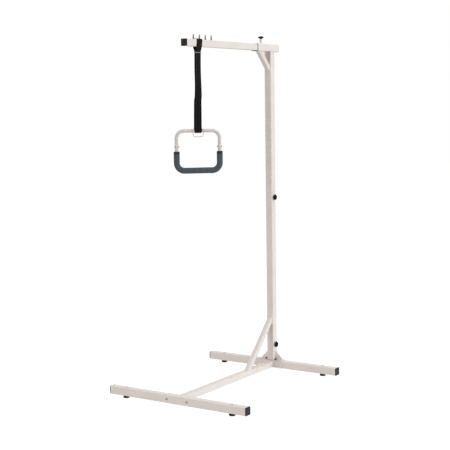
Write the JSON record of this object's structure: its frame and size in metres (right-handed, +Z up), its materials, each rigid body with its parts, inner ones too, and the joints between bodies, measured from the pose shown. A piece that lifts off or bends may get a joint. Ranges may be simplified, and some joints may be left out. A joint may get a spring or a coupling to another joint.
{
  "type": "freestanding trapeze",
  "caption": "Freestanding patient trapeze: H-shaped base of square tube, two-part post, sliding arm with strap pegs, and a foam-covered hand grip hung from a webbing strap.",
  "frame": {"origin": "on the floor, under the middle of the object's outline", "axes": "+Z up, the arm points along -Y from the post, +X to the right of someone who looks along +Y"},
  "size_m": [0.814, 0.9891, 1.8146],
  "materials": {
    "cream_powder_coat": "satin powder coat",
    "black_cap_plastic": "fine matt",
    "pale_plastic": "fine matt",
    "black_rubber": "matt",
    "zinc_plated_steel": "bright zinc",
    "black_steel": "black oxide",
    "black_knob_plastic": "moulded satin",
    "black_webbing": "woven",
    "slate_foam": "foam skin"
  },
  "bodies": {
    "base": {"front_cross_tube": "cream_powder_coat", "rear_cross_tube": "cream_powder_coat", "centre_tube": "cream_powder_coat", "front_flange": "cream_powder_coat", "rear_flange": "cream_powder_coat", "base_brace": "cream_powder_coat", "left_gusset": "cream_powder_coat", "right_gusset": "cream_powder_coat", "post_foot_plate": "cream_powder_coat", "foot_plate_bolt_1": "black_steel", "foot_plate_bolt_2": "black_steel", "foot_plate_bolt_3": "black_steel", "foot_plate_bolt_4": "black_steel", "base_spigot": "cream_powder_coat", "lower_post": "cream_powder_coat", "lower_thread_insert": "zinc_plated_steel", "mid_thread_insert": "zinc_plated_steel", "front_left_end_cap": "black_cap_plastic", "front_right_end_cap": "black_cap_plastic", "rear_left_end_cap": "black_cap_plastic", "rear_right_end_cap": "black_cap_plastic", "front_left_foot": "black_rubber", "front_right_foot": "black_rubber", "rear_left_foot": "black_rubber", "rear_right_foot": "black_rubber", "front_left_foot_bolt": "zinc_plated_steel", "front_right_foot_bolt": "zinc_plated_steel", "rear_left_foot_bolt": "zinc_plated_steel", "rear_right_foot_bolt": "zinc_plated_steel", "front_left_flange_bolt": "zinc_plated_steel", "front_right_flange_bolt": "zinc_plated_steel", "rear_left_flange_bolt": "zinc_plated_steel", "rear_right_flange_bolt": "zinc_plated_steel"},
    "upper_post": {"upper_post": "cream_powder_coat", "post_spigot": "cream_powder_coat", "arm_sleeve": "cream_powder_coat", "head_brace": "cream_powder_coat", "clamp_boss": "cream_powder_coat"},
    "arm": {"arm_tube": "cream_powder_coat", "arm_front_cap": "black_cap_plastic", "arm_rear_cap": "pale_plastic", "strap_peg_1": "zinc_plated_steel", "strap_peg_2": "zinc_plated_steel", "strap_peg_3": "zinc_plated_steel", "strap_peg_4": "zinc_plated_steel", "strap_loop": "black_webbing", "strap_clasp": "zinc_plated_steel"},
    "strap": {"strap_band": "black_webbing"},
    "handle": {"handle_upper_bow": "cream_powder_coat", "handle_lower_bow": "cream_powder_coat", "foam_grip": "slate_foam", "left_handle_screw": "zinc_plated_steel", "right_handle_screw": "zinc_plated_steel", "strap_keeper": "zinc_plated_steel"},
    "lower_knob": {"lower_knob": "black_knob_plastic", "lower_knob_stud": "zinc_plated_steel"},
    "mid_knob": {"mid_knob": "black_knob_plastic", "mid_knob_stud": "zinc_plated_steel"},
    "arm_knob": {"arm_knob": "black_knob_plastic", "arm_knob_stud": "zinc_plated_steel"}
  },
  "joints": [
    {"name": "upper_post_slide", "type": "slide", "parent": "base", "child": "upper_post", "axis": [0, 0, 1], "range_m": [0, 0.15]},
    {"name": "arm_slide", "type": "slide", "parent": "upper_post", "child": "arm", "axis": [0, -1, 0], "range_m": [-0.4, 0.1]},
    {"name": "strap_swing", "type": "hinge", "parent": "arm", "child": "strap", "pos_m": [0, -0.252, 1.7066], "axis": [0.3007, 0.9537, 0], "range_deg": [-45, 45]},
    {"name": "handle_tilt", "type": "hinge", "parent": "strap", "child": "handle", "pos_m": [0, -0.26, 1.3315], "axis": [0.7431, 0.6691, 0], "range_deg": [-75, 75]},
    {"name": "lower_knob_turn", "type": "hinge", "parent": "base", "child": "lower_knob", "pos_m": [0.02, 0.4234, 0.1389], "axis": [1, 0, 0], "continuous": true},
    {"name": "mid_knob_turn", "type": "hinge", "parent": "base", "child": "mid_knob", "pos_m": [0.02, 0.4234, 0.9529], "axis": [1, 0, 0], "continuous": true},
    {"name": "arm_knob_turn", "type": "hinge", "parent": "upper_post", "child": "arm_knob", "pos_m": [0, 0.3384, 1.7765], "axis": [0, 0, 1], "continuous": true}
  ]
}
